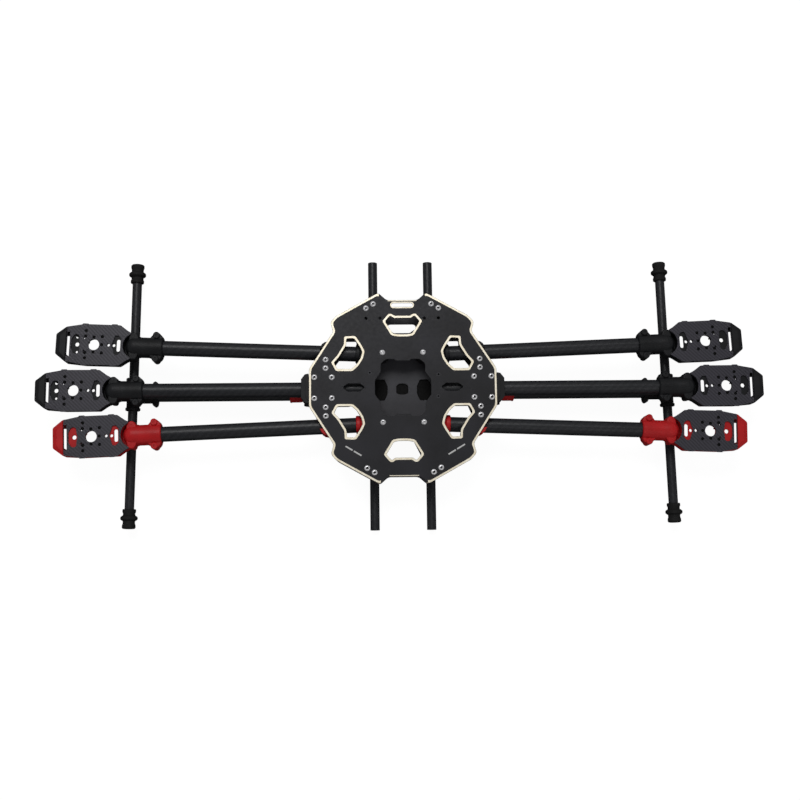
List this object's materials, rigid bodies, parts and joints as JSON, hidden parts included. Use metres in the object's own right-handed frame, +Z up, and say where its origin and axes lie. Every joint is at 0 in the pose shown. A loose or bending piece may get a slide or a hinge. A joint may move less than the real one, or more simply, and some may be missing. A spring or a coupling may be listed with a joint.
{
  "type": "folding hexacopter frame",
  "caption": "Folding hexacopter airframe with octagonal hub plates, tube arms that fold beside the fixed middle arms, motor mounts, retracting skid legs and payload rails.",
  "frame": {"origin": "on the ground plane under the hub centre, with the frame folded and standing on its rail hangers", "axes": "+X to the right-hand side along the middle arms, +Y to the nose, +Z up"},
  "size_m": [0.772, 0.296, 0.0585],
  "materials": {
    "board": "satin black solder mask on glass-epoxy board, pale gold plated borders",
    "carbon": "twill carbon fibre sheet, satin lacquer",
    "tube": "satin carbon fibre tube",
    "black_plastic": "moulded glass-filled nylon",
    "red_plastic": "moulded red nylon",
    "rubber": "soft moulded rubber",
    "steel": "bright zinc-plated screws"
  },
  "bodies": {
    "frame": {"top_plate": "board", "bottom_plate": "board", "front_left_pivot_bolt": "steel", "front_left_fold_clip": "black_plastic", "front_left_flight_lock": "black_plastic", "front_right_pivot_bolt": "steel", "front_right_fold_clip": "black_plastic", "front_right_flight_lock": "black_plastic", "rear_left_pivot_bolt": "steel", "rear_left_fold_clip": "red_plastic", "rear_left_flight_lock": "red_plastic", "rear_right_pivot_bolt": "steel", "rear_right_fold_clip": "red_plastic", "rear_right_flight_lock": "red_plastic", "middle_left_arm_tube": "tube", "middle_left_motor_mount": "black_plastic", "middle_left_motor_plate": "carbon", "middle_left_clamp": "black_plastic", "left_retract_housing": "black_plastic", "left_leg_pin": "steel", "left_rail": "tube", "left_front_rail_hanger": "black_plastic", "left_rear_rail_hanger": "black_plastic", "middle_right_arm_tube": "tube", "middle_right_motor_mount": "black_plastic", "middle_right_motor_plate": "carbon", "middle_right_clamp": "black_plastic", "right_retract_housing": "black_plastic", "right_leg_pin": "steel", "right_rail": "tube", "right_front_rail_hanger": "black_plastic", "right_rear_rail_hanger": "black_plastic"},
    "front_left_arm": {"front_left_arm_root": "black_plastic", "front_left_arm_tube": "tube", "front_left_motor_mount": "black_plastic", "front_left_motor_plate": "carbon"},
    "front_right_arm": {"front_right_arm_root": "black_plastic", "front_right_arm_tube": "tube", "front_right_motor_mount": "black_plastic", "front_right_motor_plate": "carbon"},
    "rear_left_arm": {"rear_left_arm_root": "red_plastic", "rear_left_arm_tube": "tube", "rear_left_motor_mount": "red_plastic", "rear_left_motor_plate": "carbon"},
    "rear_right_arm": {"rear_right_arm_root": "red_plastic", "rear_right_arm_tube": "tube", "rear_right_motor_mount": "red_plastic", "rear_right_motor_plate": "carbon"},
    "left_leg": {"left_leg_holder": "red_plastic", "left_leg_tube": "tube", "left_leg_tee": "black_plastic", "left_skid_tube": "tube", "left_front_foot": "rubber", "left_rear_foot": "rubber"},
    "right_leg": {"right_leg_holder": "red_plastic", "right_leg_tube": "tube", "right_leg_tee": "black_plastic", "right_skid_tube": "tube", "right_front_foot": "rubber", "right_rear_foot": "rubber"}
  },
  "joints": [
    {"name": "front_left_arm_fold", "type": "hinge", "parent": "frame", "child": "front_left_arm", "pos_m": [-0.0215, 0.03724, 0.0425], "axis": [0, 0, 1], "range_deg": [-57.83, 0]},
    {"name": "front_right_arm_fold", "type": "hinge", "parent": "frame", "child": "front_right_arm", "pos_m": [0.0215, 0.03724, 0.0425], "axis": [0, 0, 1], "range_deg": [0, 57.83]},
    {"name": "rear_left_arm_fold", "type": "hinge", "parent": "frame", "child": "rear_left_arm", "pos_m": [-0.0215, -0.03724, 0.0425], "axis": [0, 0, 1], "range_deg": [0, 57.83]},
    {"name": "rear_right_arm_fold", "type": "hinge", "parent": "frame", "child": "rear_right_arm", "pos_m": [0.0215, -0.03724, 0.0425], "axis": [0, 0, 1], "range_deg": [-57.83, 0]},
    {"name": "left_leg_retract", "type": "hinge", "parent": "frame", "child": "left_leg", "pos_m": [-0.099, 0, 0.0195], "axis": [0, 1, 0], "range_deg": [-80, 0]},
    {"name": "right_leg_retract", "type": "hinge", "parent": "frame", "child": "right_leg", "pos_m": [0.099, 0, 0.0195], "axis": [0, 1, 0], "range_deg": [0, 80]}
  ]
}
